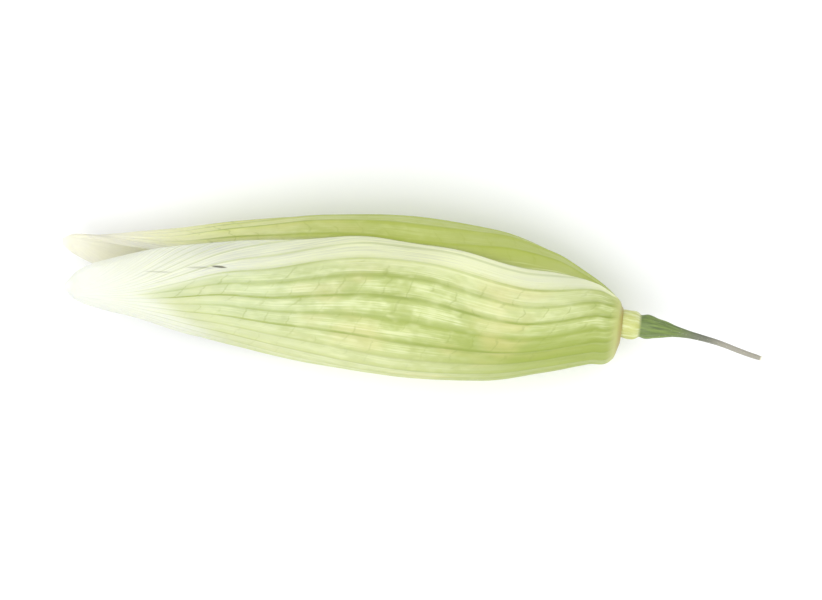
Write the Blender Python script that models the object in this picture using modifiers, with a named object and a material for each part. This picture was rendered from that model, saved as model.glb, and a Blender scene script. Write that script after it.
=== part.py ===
"""One oat spikelet, as picked: two papery glumes on a short stalk, closed round two florets.

The object lies on its side. +X points from the tips of the glumes to the stalk, +Z is up, and
the origin is at the bottom centre of the whole spikelet. All sizes are in metres.

Each piece is first made in the frame of the spikelet's own axis: x = 0 where the glumes are
seated and negative towards their tips, z = 0 on the plane between the two glumes, and +Z
towards the back of the first glume. An empty then rolls the whole spikelet on to its side.
"""

import math
from collections import namedtuple

import bmesh
import bpy
import numpy as np
from mathutils import Matrix, Vector

# Driving dimensions of the spikelet
GLUME_LENGTH = 0.0250
SECOND_GLUME_LENGTH = 0.0254
BLADE = 0.0006
SECOND_BLADE = 0.0007
LEMMA_LENGTH = 0.0182
SECOND_LEMMA_LENGTH = 0.0140
LEMMA_START = -0.0014
SECOND_LEMMA_START = -0.0047
PEDICEL_LENGTH = 0.0058
ROLL = math.radians(33)
REST_FLAT_DEPTH = 0.0004

# Stalk and axis: a tube's bevel resolution of 3 gives it 10 sides
COLLAR_RADIUS = 0.00062
RACHILLA_RADIUS = 0.00026
TUBE_RESOLUTION = 3

# How finely the blades are divided
COLUMNS_A_VEIN = 4
GLUME_ROWS = 30
LEMMA_ROWS = 20
INNER_COLUMNS = 13
MARGIN_SHARE = 0.09
RIB_RISES_BY = 0.06
RIB_FADES_OVER = 0.30
PALEA_ROWS = 14
PALEA_COLUMNS = 8
GRAIN_SEGMENTS = 20
GRAIN_RINGS = 14

GREEN = (0.56, 0.63, 0.27, 1.0)
DEEP_GREEN = (0.50, 0.57, 0.18, 1.0)
PALE_GREEN = (0.66, 0.72, 0.40, 1.0)
STALK_GREEN = (0.30, 0.40, 0.16, 1.0)
STRAW = (0.74, 0.72, 0.45, 1.0)
MILKY = (0.78, 0.80, 0.60, 1.0)
ROUGH = 0.6

# A bract is a blade bent round the axis. Each outline is a few (share of length, value) stations:
# half_width is half of its widest cross measure, back the height of its outer back above the
# middle plane, rise the height of that back above the level where the section is widest, wrap
# the angle from its midrib to each margin, turn the angle that its midrib is rolled round the
# axis and sway how far the section is moved sideways. side is +1 where the back faces +Z.
Bract = namedtuple(
    "Bract",
    "start length side half_width back rise wrap turn sway veins rib thickness rows",
)

FIRST_GLUME = Bract(
    start=0.0,
    length=GLUME_LENGTH,
    side=1,
    half_width=(
        (0.0, 0.00112), (0.05, 0.00186), (0.13, 0.00258), (0.24, 0.00318), (0.40, 0.00354),
        (0.53, 0.00336), (0.68, 0.00270), (0.82, 0.00178), (0.93, 0.00090), (1.0, 0.00032),
    ),
    back=(
        (0.0, 0.00115), (0.05, 0.00188), (0.13, 0.00262), (0.24, 0.00304), (0.38, 0.00312),
        (0.55, 0.00284), (0.72, 0.00228), (0.86, 0.00182), (1.0, 0.00150),
    ),
    rise=(
        (0.0, 0.00115), (0.05, 0.00200), (0.15, 0.00292), (0.38, 0.00330), (0.60, 0.00262),
        (0.78, 0.00170), (0.90, 0.00120), (1.0, 0.00090),
    ),
    wrap=(
        (0.0, 84), (0.05, 85), (0.12, 87), (0.35, 84), (0.60, 85), (0.72, 82), (0.86, 60), (1.0, 24),
    ),
    turn=((0.0, 0), (0.05, -4), (0.12, -10), (0.35, -14), (0.55, -12), (0.72, -6), (1.0, -4)),
    sway=((0.0, 0.0), (0.35, -0.0001), (0.70, -0.0002), (1.0, -0.0006)),
    veins=11,
    rib=0.00013,
    thickness=BLADE,
    rows=GLUME_ROWS,
)

SECOND_GLUME = Bract(
    start=0.0,
    length=SECOND_GLUME_LENGTH,
    side=-1,
    half_width=(
        (0.0, 0.00112), (0.05, 0.00160), (0.08, 0.00180), (0.13, 0.00218), (0.24, 0.00278),
        (0.38, 0.00308), (0.53, 0.00274), (0.68, 0.00198), (0.82, 0.00122), (0.93, 0.00064),
        (1.0, 0.00032),
    ),
    back=(
        (0.0, 0.00115), (0.05, 0.00186), (0.13, 0.00258), (0.24, 0.00302), (0.38, 0.00310),
        (0.55, 0.00282), (0.72, 0.00226), (0.86, 0.00178), (1.0, 0.00142),
    ),
    rise=(
        (0.0, 0.00115), (0.05, 0.00168), (0.15, 0.00222), (0.38, 0.00252), (0.60, 0.00222),
        (0.78, 0.00160), (0.90, 0.00116), (1.0, 0.00090),
    ),
    wrap=(
        (0.0, 84), (0.05, 84), (0.12, 88), (0.25, 106), (0.38, 114), (0.55, 106), (0.72, 82),
        (0.86, 58), (1.0, 24),
    ),
    turn=((0.0, 0), (0.05, 3), (0.12, 4), (0.38, 2), (1.0, 0)),
    sway=((0.0, 0.0), (0.08, 0.00012), (0.13, 0.00022), (0.38, 0.00042), (0.70, 0.00026), (1.0, 0.00020)),
    veins=11,
    rib=0.00012,
    thickness=SECOND_BLADE,
    rows=GLUME_ROWS,
)

FIRST_LEMMA = Bract(
    start=LEMMA_START,
    length=LEMMA_LENGTH,
    side=1,
    half_width=(
        (0.0, 0.00068), (0.10, 0.00122), (0.25, 0.00168), (0.40, 0.00190), (0.55, 0.00184),
        (0.75, 0.00142), (0.90, 0.00084), (1.0, 0.00036),
    ),
    back=(
        (0.0, 0.00116), (0.10, 0.00180), (0.25, 0.00222), (0.40, 0.00234), (0.55, 0.00224),
        (0.75, 0.00176), (0.90, 0.00130), (1.0, 0.00096),
    ),
    rise=(
        (0.0, 0.00070), (0.10, 0.00128), (0.25, 0.00172), (0.40, 0.00188), (0.55, 0.00182),
        (0.75, 0.00136), (0.90, 0.00094), (1.0, 0.00070),
    ),
    wrap=((0.0, 88), (0.40, 95), (0.75, 90), (0.90, 70), (1.0, 34)),
    turn=((0.0, 0), (1.0, 0)),
    sway=((0.0, 0.0), (0.12, 0.0001), (0.35, 0.0003), (0.75, 0.0003), (1.0, 0.00045)),
    veins=7,
    rib=0.00009,
    thickness=BLADE,
    rows=LEMMA_ROWS,
)

SECOND_LEMMA = Bract(
    start=SECOND_LEMMA_START,
    length=SECOND_LEMMA_LENGTH,
    side=-1,
    half_width=(
        (0.0, 0.00068), (0.10, 0.00118), (0.25, 0.00158), (0.40, 0.00174), (0.55, 0.00166),
        (0.75, 0.00126), (0.90, 0.00076), (1.0, 0.00036),
    ),
    back=(
        (0.0, 0.00150), (0.10, 0.00188), (0.25, 0.00214), (0.40, 0.00218), (0.55, 0.00206),
        (0.75, 0.00164), (0.90, 0.00128), (1.0, 0.00104),
    ),
    rise=(
        (0.0, 0.00070), (0.10, 0.00124), (0.25, 0.00160), (0.40, 0.00170), (0.55, 0.00160),
        (0.75, 0.00120), (0.90, 0.00086), (1.0, 0.00068),
    ),
    wrap=((0.0, 88), (0.40, 95), (0.75, 90), (0.90, 70), (1.0, 34)),
    turn=((0.0, 0), (1.0, 0)),
    sway=((0.0, 0.00015), (0.25, 0.0003), (1.0, 0.0003)),
    veins=7,
    rib=0.00008,
    thickness=BLADE,
    rows=LEMMA_ROWS,
)

# The palea closes the open side of its lemma, from PALEA_FROM to PALEA_TO of the lemma's length
PALEA_FROM = 0.11
PALEA_TO = 0.80
PALEA_LEVEL = 0.00040
PALEA_BOW = 0.00006
PALEA_WIDTH = ((0.0, 0.00030), (0.2, 0.00070), (0.5, 0.00098), (0.8, 0.00072), (1.0, 0.00026))

# A young grain lies between the palea and the back of its lemma, level above the middle plane
Grain = namedtuple("Grain", "lemma length half_width half_depth level")
FIRST_GRAIN = Grain(FIRST_LEMMA, length=0.0088, half_width=0.00080, half_depth=0.00033, level=0.00125)
SECOND_GRAIN = Grain(SECOND_LEMMA, length=0.0068, half_width=0.00064, half_depth=0.00028, level=0.00116)
GRAIN_MIDDLE = 0.42
GRAIN_TAPER = 0.1
FURROW_DEPTH = 0.00010
FURROW_WIDTH = 0.00022

# Points of the stalk from the glumes' seat to its broken end: share of length, drift and radius
PEDICEL_ROUTE = (
    (0.0, 0.0, 1.0), (0.11, 0.0, 1.0), (0.14, 0.0, 0.86), (0.24, 0.0, 0.70), (0.36, 0.06, 0.50),
    (0.50, 0.18, 0.36), (0.68, 0.42, 0.29), (0.86, 0.76, 0.27), (1.0, 1.0, 0.27),
)
PEDICEL_DRIFT = Vector((0.0, -0.00090, 0.0001))
SEAT_GAP = 0.0002

# Points of the axis between the florets, in the spikelet's own frame
RACHILLA_ROUTE = (
    (-0.0002, 0.0, 0.0, 0.95), (-0.0010, 0.0, -0.00012, 1.1), (-0.0022, 0.0, -0.00030, 0.85),
    (-0.0034, 0.00006, -0.00050, 0.85), (-0.0045, 0.00014, -0.00070, 1.15),
)


def through(stations, share):
    """The value at share on the smooth curve through the stations, with no overshoot."""
    at = np.array([s[0] for s in stations], float)
    value = np.array([s[1] for s in stations], float)
    step = np.diff(at)
    slope = np.diff(value) / step
    tangent = np.zeros(len(at))
    tangent[0], tangent[-1] = slope[0], slope[-1]
    for i in range(1, len(at) - 1):
        if slope[i - 1] * slope[i] > 0:
            before, after = 2 * step[i] + step[i - 1], step[i] + 2 * step[i - 1]
            tangent[i] = (before + after) / (before / slope[i - 1] + after / slope[i])
    i = int(np.clip(np.searchsorted(at, share) - 1, 0, len(step) - 1))
    t = (share - at[i]) / step[i]
    return (
        (2 * t**3 - 3 * t**2 + 1) * value[i]
        + (t**3 - 2 * t**2 + t) * step[i] * tangent[i]
        + (3 * t**2 - 2 * t**3) * value[i + 1]
        + (t**3 - t**2) * step[i] * tangent[i + 1]
    )


def rib_height(bract, across, share):
    """How far a vein stands proud here: a wave across the blade that fades at both ends."""
    green = (across - MARGIN_SHARE) / (1 - 2 * MARGIN_SHARE)
    if not 0 <= green <= 1:
        return 0.0
    wave = 0.5 + 0.5 * math.cos(2 * math.pi * green * (bract.veins - 1))
    fade = min(1.0, share / RIB_RISES_BY) * min(1.0, (1 - share) / RIB_FADES_OVER)
    return bract.rib * wave * fade


def section_point(bract, share, across, inset):
    """A point of the section at share of the length, inset from its outer face."""
    wrap = math.radians(through(bract.wrap, share))
    angle = (2 * across - 1) * wrap + math.radians(through(bract.turn, share))
    widest = math.sin(min(wrap, math.pi / 2))
    radius = through(bract.half_width, share) / widest - inset
    rise = through(bract.rise, share) - inset
    level = through(bract.back, share) - through(bract.rise, share)
    return Vector((
        bract.start - share * bract.length,
        through(bract.sway, share) + radius * math.sin(angle),
        bract.side * (level + rise * math.cos(angle)),
    ))


def bract_ring(bract, share):
    """The section as one closed loop: its veined outer face, then its smooth inner face back."""
    green = np.linspace(MARGIN_SHARE, 1 - MARGIN_SHARE, (bract.veins - 1) * COLUMNS_A_VEIN + 1)
    outer = [0.0, *green, 1.0]
    inner = np.linspace(1.0, 0.0, INNER_COLUMNS)
    return [
        *(section_point(bract, share, a, -rib_height(bract, a, share)) for a in outer),
        *(section_point(bract, share, a, bract.thickness) for a in inner),
    ]


def loft(name, rings):
    """One closed solid through rings of equal length, with a flat cap at each end."""
    bm = bmesh.new()
    loops = [[bm.verts.new(point) for point in ring] for ring in rings]
    for near, far in zip(loops, loops[1:]):
        for i in range(len(near)):
            j = (i + 1) % len(near)
            bm.faces.new((near[i], near[j], far[j], far[i]))
    bm.faces.new(loops[0])
    bm.faces.new(loops[-1])
    bmesh.ops.recalc_face_normals(bm, faces=bm.faces)
    return object_of(name, bm)


def object_of(name, bm):
    """A smooth-shaded object made from the mesh being edited."""
    mesh = bpy.data.meshes.new(name)
    bm.to_mesh(mesh)
    bm.free()
    mesh.shade_smooth()
    return bpy.data.objects.new(name, mesh)


def make_bract(name, bract):
    """A glume or a lemma: a veined blade, lofted from its base to its tip."""
    evenly = np.linspace(0, math.pi, bract.rows)
    shares = 0.5 - 0.5 * np.cos(evenly)
    return loft(name, [bract_ring(bract, share) for share in shares])


def make_palea(name, lemma):
    """The inner blade of a floret: an open bowed strip, thickened to a blade."""
    bm = bmesh.new()
    bmesh.ops.create_grid(bm, x_segments=PALEA_ROWS, y_segments=PALEA_COLUMNS, size=0.5)
    for vert in bm.verts:
        along, across = 0.5 - vert.co.x, 2 * vert.co.y
        share = PALEA_FROM + along * (PALEA_TO - PALEA_FROM)
        vert.co = (
            lemma.start - share * lemma.length,
            through(lemma.sway, share) + across * through(PALEA_WIDTH, along),
            lemma.side * (PALEA_LEVEL + PALEA_BOW * (1 - across**2)),
        )
    obj = object_of(name, bm)
    solidify = obj.modifiers.new("Thickness", "SOLIDIFY")
    solidify.thickness = BLADE
    solidify.offset = 0
    return obj


def make_grain(name, grain):
    """A young grain: a long egg with a furrow down the side that faces its palea."""
    bm = bmesh.new()
    bmesh.ops.create_uvsphere(bm, u_segments=GRAIN_SEGMENTS, v_segments=GRAIN_RINGS, radius=1.0)
    bmesh.ops.rotate(bm, verts=bm.verts, matrix=Matrix.Rotation(math.pi / 2, 3, "Y"))
    lemma = grain.lemma
    middle = lemma.start - GRAIN_MIDDLE * lemma.length
    for vert in bm.verts:
        along, across, up = vert.co
        taper = 1 + GRAIN_TAPER * along
        y = across * grain.half_width * taper
        z = up * grain.half_depth * taper
        if up * lemma.side < 0:
            z += lemma.side * FURROW_DEPTH * abs(up) * math.exp(-((y / FURROW_WIDTH) ** 2))
        vert.co = (
            middle + along * grain.length / 2,
            y + through(lemma.sway, GRAIN_MIDDLE),
            z + lemma.side * grain.level,
        )
    return object_of(name, bm)


def make_tube(name, points, thickest):
    """A tube along (place, share of the thickest radius) points, with filled ends."""
    curve = bpy.data.curves.new(name, "CURVE")
    curve.dimensions = "3D"
    curve.bevel_depth = thickest
    curve.bevel_resolution = TUBE_RESOLUTION
    curve.use_fill_caps = True
    spline = curve.splines.new("POLY")
    spline.points.add(len(points) - 1)
    for point, (place, share) in zip(spline.points, points):
        point.co = (*place, 1.0)
        point.radius = share
    spline.use_smooth = True
    return bpy.data.objects.new(name, curve)


def make_pedicel(name):
    """The stalk: a ring under the glumes, a cone and the thin broken thread."""
    points = [
        (Vector((SEAT_GAP + along * PEDICEL_LENGTH, 0, 0)) + drift * PEDICEL_DRIFT, share)
        for along, drift, share in PEDICEL_ROUTE
    ]
    return make_tube(name, points, COLLAR_RADIUS)


def make_rachilla(name):
    """The axis inside the glumes, from their seat to the foot of the second floret."""
    points = [(Vector((x, y, z)), share) for x, y, z, share in RACHILLA_ROUTE]
    return make_tube(name, points, RACHILLA_RADIUS)


def material(name, colour):
    """A plain finish of the piece's own colour."""
    made = bpy.data.materials.new(name)
    made.use_nodes = True
    surface = made.node_tree.nodes["Principled BSDF"]
    surface.inputs["Base Color"].default_value = colour
    surface.inputs["Roughness"].default_value = ROUGH
    surface.inputs["Metallic"].default_value = 0.0
    return made


def lowest_and_highest(objects):
    """The box round the objects as they stand in the world."""
    bpy.context.view_layer.update()
    graph = bpy.context.evaluated_depsgraph_get()
    corners = []
    for obj in objects:
        evaluated = obj.evaluated_get(graph)
        mesh = evaluated.to_mesh()
        corners += [evaluated.matrix_world @ vert.co for vert in mesh.vertices]
        evaluated.to_mesh_clear()
    points = np.array(corners)
    return points.min(axis=0), points.max(axis=0)


def lay_down(roll, pieces, cutter_home):
    """Rolls the spikelet on its side, centres it and cuts the small flat that it rests on."""
    roll.rotation_euler = (ROLL, 0, 0)
    low, high = lowest_and_highest(pieces.values())
    roll.location = (-(low[0] + high[0]) / 2, -(low[1] + high[1]) / 2, -low[2] - REST_FLAT_DEPTH)
    bpy.context.view_layer.update()
    span = 2 * GLUME_LENGTH
    bpy.ops.mesh.primitive_cube_add(size=span, location=(0, 0, -span / 2))
    below = bpy.context.object
    below.name = "below_the_rest_plane"
    below.hide_render = True
    below.display_type = "WIRE"
    for home in list(below.users_collection):
        home.objects.unlink(below)
    cutter_home.objects.link(below)
    cut = pieces["second_glume"].modifiers.new("Rest flat", "BOOLEAN")
    cut.operation = "DIFFERENCE"
    cut.object = below


def main():
    for obj in list(bpy.data.objects):
        bpy.data.objects.remove(obj)
    spikelet = bpy.data.collections.new("Oat spikelet")
    cutters = bpy.data.collections.new("Cutters")
    for home in (spikelet, cutters):
        bpy.context.scene.collection.children.link(home)
    roll = bpy.data.objects.new("roll_on_its_side", None)
    spikelet.objects.link(roll)

    glume_green = material("glume", GREEN)
    lemma_green = material("lemma", PALE_GREEN)
    palea_straw = material("palea", STRAW)
    grain_milky = material("grain", MILKY)
    made = (
        (make_bract("first_glume", FIRST_GLUME), glume_green),
        (make_bract("second_glume", SECOND_GLUME), material("far_glume", DEEP_GREEN)),
        (make_bract("first_lemma", FIRST_LEMMA), lemma_green),
        (make_bract("second_lemma", SECOND_LEMMA), lemma_green),
        (make_palea("first_palea", FIRST_LEMMA), palea_straw),
        (make_palea("second_palea", SECOND_LEMMA), palea_straw),
        (make_grain("first_grain", FIRST_GRAIN), grain_milky),
        (make_grain("second_grain", SECOND_GRAIN), grain_milky),
        (make_pedicel("pedicel"), material("stalk", STALK_GREEN)),
        (make_rachilla("rachilla"), material("axis", PALE_GREEN)),
    )
    pieces = {}
    for obj, finish in made:
        obj.data.materials.append(finish)
        spikelet.objects.link(obj)
        obj.parent = roll
        pieces[obj.name] = obj
    lay_down(roll, pieces, cutters)


main()
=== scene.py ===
"""Dresses one green oat spikelet on a pale floor.

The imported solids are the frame. Round them stand the pieces that show: two thin veined glumes with
papery margins, two florets with their lemma, palea and young grain, the axis that carries them,
and the stalk with its pale ring and fine bristles. All sizes are in metres.

Each piece is made in the spikelet's own frame, as its solid is: x = 0 where the glumes are seated
and negative towards their tips, z = 0 between the two glumes, and +z towards the back of the first.
"""

import math
from collections import namedtuple

import bpy
import numpy as np
from bpy.props import FloatProperty, FloatVectorProperty, IntProperty, PointerProperty
from mathutils import Matrix, Vector


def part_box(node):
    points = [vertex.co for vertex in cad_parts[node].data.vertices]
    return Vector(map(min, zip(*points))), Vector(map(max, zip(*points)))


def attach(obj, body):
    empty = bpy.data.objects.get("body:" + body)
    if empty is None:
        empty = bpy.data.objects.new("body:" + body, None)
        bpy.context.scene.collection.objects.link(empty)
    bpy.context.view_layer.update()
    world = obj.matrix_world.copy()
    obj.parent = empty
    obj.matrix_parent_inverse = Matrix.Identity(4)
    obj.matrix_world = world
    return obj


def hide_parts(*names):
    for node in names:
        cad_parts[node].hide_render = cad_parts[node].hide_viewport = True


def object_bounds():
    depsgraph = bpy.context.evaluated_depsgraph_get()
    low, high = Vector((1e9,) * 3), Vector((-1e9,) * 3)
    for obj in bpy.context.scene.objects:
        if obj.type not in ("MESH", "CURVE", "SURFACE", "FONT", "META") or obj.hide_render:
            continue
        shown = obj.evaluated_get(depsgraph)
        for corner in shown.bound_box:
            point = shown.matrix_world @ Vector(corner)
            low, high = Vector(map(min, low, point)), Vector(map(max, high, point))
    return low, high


bl_info = {
    "name": "Oat Spikelet",
    "version": (1, 0, 0),
    "blender": (4, 5, 0),
    "location": "View3D > Sidebar > Oat spikelet",
    "description": "Builds the visible pieces of one green oat spikelet round its packed solids",
    "category": "Object",
}

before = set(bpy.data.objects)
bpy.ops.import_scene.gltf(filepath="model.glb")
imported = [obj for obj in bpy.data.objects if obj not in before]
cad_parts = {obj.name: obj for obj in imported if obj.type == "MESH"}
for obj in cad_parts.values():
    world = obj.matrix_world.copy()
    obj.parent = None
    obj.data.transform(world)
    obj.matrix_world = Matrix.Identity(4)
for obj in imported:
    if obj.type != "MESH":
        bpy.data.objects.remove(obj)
CAD_BOX = [list(corner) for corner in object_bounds()]

# The spikelet's own frame, as it lies in the row frame, and the digits that tell its points apart
ROLL = math.radians(33)
SEAT_GAP = 0.0002
POINT_DIGITS = 5

GLUME_START = -0.00025

# How the blades stand, close to their solids: (share of length, value) stations, lengths in metres
# and angles in degrees. half_width is half of the widest cross measure, back the height of the outer
# back above the middle plane, rise the height of the back above the widest level. wrap_plus and
# wrap_minus are the angles from the back to the margins on +y and on -y, and sway moves the section
# sideways. plus and minus are the shares of the blade that are papery margin on each side,
# green_until is the stretch of its length where green turns into paper, and notch cleaves its tip.
Blade = namedtuple(
    "Blade",
    "node start length side half_width back rise wrap_plus wrap_minus sway plus minus thickness "
    "veins green_until notch rows columns seed",
)


def profile(at, *values):
    """Stations at shares of a length, with a value at each."""
    return tuple(zip(at, values))


def glume_length(node):
    """The length of a glume from its start to the tip of its solid."""
    low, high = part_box(node)
    return high.x - low.x + GLUME_START


GLUME_AT = (0, 0.008, 0.02, 0.05, 0.13, 0.24, 0.38, 0.55, 0.72, 0.86, 1)

FIRST_GLUME = Blade(
    node="first_glume", start=GLUME_START, length=glume_length("first_glume"), side=1,
    half_width=(
        (0, 0.00078), (0.008, 0.00142), (0.02, 0.00168), (0.05, 0.00188), (0.13, 0.00251),
        (0.24, 0.00314), (0.4, 0.00352), (0.53, 0.00333), (0.68, 0.00282), (0.82, 0.0021),
        (0.93, 0.0013), (0.98, 0.00074), (1, 0.00016),
    ),
    back=profile(
        GLUME_AT, 0.0008, 0.00106, 0.00142, 0.00184, 0.0025, 0.003, 0.00312, 0.00284, 0.00228,
        0.0018, 0.0013,
    ),
    rise=(
        (0, 0.0008), (0.008, 0.00106), (0.02, 0.00144), (0.05, 0.002), (0.15, 0.00292),
        (0.38, 0.0033), (0.6, 0.00262), (0.78, 0.0017), (0.9, 0.001), (1, 0.0002),
    ),
    wrap_plus=(
        (0, 94), (0.05, 92), (0.12, 81), (0.19, 76), (0.27, 76.5), (0.36, 77.5), (0.44, 77),
        (0.6, 78), (0.72, 78), (0.82, 73), (0.9, 70), (1, 60),
    ),
    wrap_minus=(
        (0, 122), (0.02, 120), (0.05, 112), (0.12, 100), (0.35, 98), (0.6, 97), (0.72, 88),
        (0.88, 66), (1, 50),
    ),
    sway=(
        (0, 0), (0.008, -0.00016), (0.02, -0.00016), (0.05, 0.00001), (0.13, 0.00003),
        (0.24, 0), (0.4, 0.00003), (0.53, -0.00004), (0.68, -0.00016), (0.82, -0.0002),
        (0.93, -0.00032), (1, -0.0006),
    ),
    plus=(
        (0, 0.02), (0.06, 0.07), (0.15, 0.11), (0.45, 0.12), (0.55, 0.14), (0.68, 0.2), (0.8, 0.34),
        (0.9, 0.54), (1, 0.75),
    ),
    minus=((0, 0.03), (0.3, 0.05), (0.6, 0.07), (0.8, 0.1), (1, 0.18)),
    thickness=((0, 0.00042), (0.04, 0.0002), (0.12, 0.00014), (0.8, 0.00011), (1, 0.00004)),
    veins=11, green_until=(0.66, 0.9), notch=0, rows=210, columns=180, seed=11,
)

SECOND_GLUME = FIRST_GLUME._replace(
    node="second_glume", length=glume_length("second_glume"), side=-1,
    half_width=(
        (0, 0.00078), (0.008, 0.00116), (0.02, 0.00146), (0.05, 0.00174), (0.08, 0.00194),
        (0.13, 0.00233), (0.24, 0.0029), (0.38, 0.00312), (0.53, 0.00283), (0.68, 0.00217),
        (0.82, 0.0015), (0.93, 0.00096), (0.98, 0.0006), (1, 0.0002),
    ),
    back=profile(
        GLUME_AT, 0.0008, 0.00106, 0.00142, 0.00194, 0.00286, 0.00326, 0.00316, 0.00282, 0.00226,
        0.00176, 0.00122,
    ),
    rise=(
        (0, 0.0008), (0.008, 0.00104), (0.02, 0.00134), (0.05, 0.00168), (0.15, 0.00222),
        (0.38, 0.00252), (0.6, 0.00222), (0.78, 0.0014), (0.88, 0.00078), (0.96, 0.0003), (1, 0.00012),
    ),
    wrap_plus=(
        (0, 92), (0.05, 99), (0.12, 111), (0.19, 124), (0.27, 131), (0.38, 132), (0.55, 130),
        (0.74, 130), (0.84, 132), (0.9, 128), (0.95, 112), (1, 88),
    ),
    wrap_minus=(
        (0, 94), (0.05, 96), (0.12, 98), (0.25, 106), (0.38, 114), (0.55, 108), (0.72, 90),
        (0.88, 66), (1, 50),
    ),
    sway=(
        (0, 0), (0.008, -0.0001), (0.02, -0.00012), (0.05, -0.00003), (0.08, 0.00008),
        (0.13, 0.00023), (0.26, 0.00042), (0.38, 0.0005), (0.55, 0.00046), (0.68, 0.00033),
        (0.82, 0.00004), (0.93, -0.0001), (1, 0.0002),
    ),
    plus=((0, 0), (0.6, 0), (0.75, 0.02), (0.88, 0.08), (1, 0.3)),
    minus=((0, 0.03), (0.3, 0.08), (0.55, 0.12), (0.7, 0.28), (0.85, 0.5), (1, 0.6)),
    green_until=(0.84, 1), seed=23,
)

LEMMA_AT = (0, 0.1, 0.25, 0.4, 0.55, 0.75, 0.9, 1)
LEMMA_WRAP = ((0, 92), (0.4, 102), (0.75, 96), (0.9, 80), (1, 60))
LEMMA_MARGIN = ((0, 0.02), (0.5, 0.05), (0.8, 0.1), (1, 0.22))

FIRST_LEMMA = Blade(
    node="first_lemma", start=-0.0014, length=0.0182, side=1,
    half_width=profile(LEMMA_AT, 0.0006, 0.0012, 0.00168, 0.0019, 0.00184, 0.0014, 0.00068, 0.0001),
    back=profile(LEMMA_AT, 0.00112, 0.0018, 0.00222, 0.00234, 0.00224, 0.00176, 0.00126, 0.00088),
    rise=profile(LEMMA_AT, 0.00062, 0.00128, 0.00172, 0.00188, 0.00182, 0.00136, 0.00086, 0.0004),
    wrap_plus=LEMMA_WRAP, wrap_minus=LEMMA_WRAP,
    sway=((0, 0), (0.12, 0.0001), (0.35, 0.0003), (0.75, 0.0004), (1, 0.0008)),
    plus=LEMMA_MARGIN, minus=LEMMA_MARGIN,
    thickness=((0, 0.0004), (0.08, 0.0002), (0.8, 0.00015), (1, 0.00006)),
    veins=7, green_until=(1.1, 1.3), notch=0.07, rows=130, columns=96, seed=37,
)

SECOND_LEMMA = FIRST_LEMMA._replace(
    node="second_lemma", start=-0.0047, length=0.014, side=-1,
    half_width=profile(LEMMA_AT, 0.0006, 0.00116, 0.00158, 0.00174, 0.00166, 0.00124, 0.00068, 0.00022),
    back=profile(LEMMA_AT, 0.00146, 0.00188, 0.00214, 0.00218, 0.00206, 0.00164, 0.00124, 0.00092),
    rise=profile(LEMMA_AT, 0.00062, 0.00124, 0.0016, 0.0017, 0.0016, 0.0012, 0.00078, 0.0004),
    sway=((0, 0.00015), (0.25, 0.0003), (1, 0.0003)),
    seed=41,
)

# The relief of a blade's skin. Ranges are shares of its length, or places across it
RIB = 0.00007
MINOR_RIB = 0.00005
VEIN_WIDTH = 0.16
VEIN_WANDER = 0.17
WANDER_TURNS = 2.3
LANE_TURNS = 0.15
RIB_STARTS = 0.05
RIB_ENDS = 0.9
RIBS_SINK = (0.85, 1)
PAPERY_RIB = 0.22
BULGE = 0.00003
BULGE_TURNS = (3, 1.5)
BULGE_STARTS = (0, 0.1)
BULGE_ENDS = (0.8, 1)
RUFFLE = 0.00007
RUFFLE_WAVE = 0.0045
RUFFLE_SLANT = 4
RUFFLE_WIDTH = (0, 0.16)
RUFFLE_STARTS = (0.05, 0.3)
RUFFLE_ENDS = (0.9, 1)
GREEN_FADE = 0.09
GREEN_END_WANDER = 0.05
NOTCH_WIDTH = 0.1
RIM_WIDTH = (0, 0.2)
EDGE_THICKNESS = 0.35
EDGE_WANDER = 1.6
EDGE_TURNS = 6
PRESS_SOFTNESS = 0.00014

# Small dark flecks painted on the first glume's margin: share along, place across, reach and depth
FLECKS = ((0.728, 0.796, 0.015, 0.85), (0.762, 0.784, 0.026, 0.3), (0.836, 0.746, 0.026, 0.3))
FLECK_WIDTH = 0.008

# How solid the papery margins look, from thin to thick fibres, and how rough all noise is
PAPER_THINNEST = 0.56
FAR_PAPER_THINNEST = 0.64
PAPER_THICKEST = 0.78
NOISE_ROUGHNESS = 0.55

# The palea, as a share of its lemma's length, and its two keels
PALEA_FROM = 0.11
PALEA_TO = 0.8
PALEA_LEVEL = 0.0004
PALEA_WIDTH = ((0, 0.00024), (0.2, 0.0007), (0.5, 0.00098), (0.8, 0.0007), (1, 0.00012))
PALEA_THICKNESS = 0.0001
PALEA_KEEL = 0.62
PALEA_KEEL_WIDTH = 0.09
PALEA_KEEL_HEIGHT = 0.00009
PALEA_DIP = 0.00012
PALEA_ROWS = 90
PALEA_COLUMNS = 56

# The young grains, with their level above the middle plane
Grain = namedtuple("Grain", "node lemma length half_width half_depth level")
FIRST_GRAIN = Grain("first_grain", FIRST_LEMMA, 0.0088, 0.0008, 0.00033, 0.00125)
SECOND_GRAIN = Grain("second_grain", SECOND_LEMMA, 0.0068, 0.00064, 0.00028, 0.00116)
GRAIN_MIDDLE = 0.42
GRAIN_TAPER = 0.1
GRAIN_RINGS = 64
GRAIN_SEGMENTS = 48
FURROW_DEPTH = 0.00011
FURROW_WIDTH = 0.0002
GERM_AT = 0.78
GERM_REACH = 0.2
GERM_WIDTH = 0.35
GERM_HEIGHT = 0.00004

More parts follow.
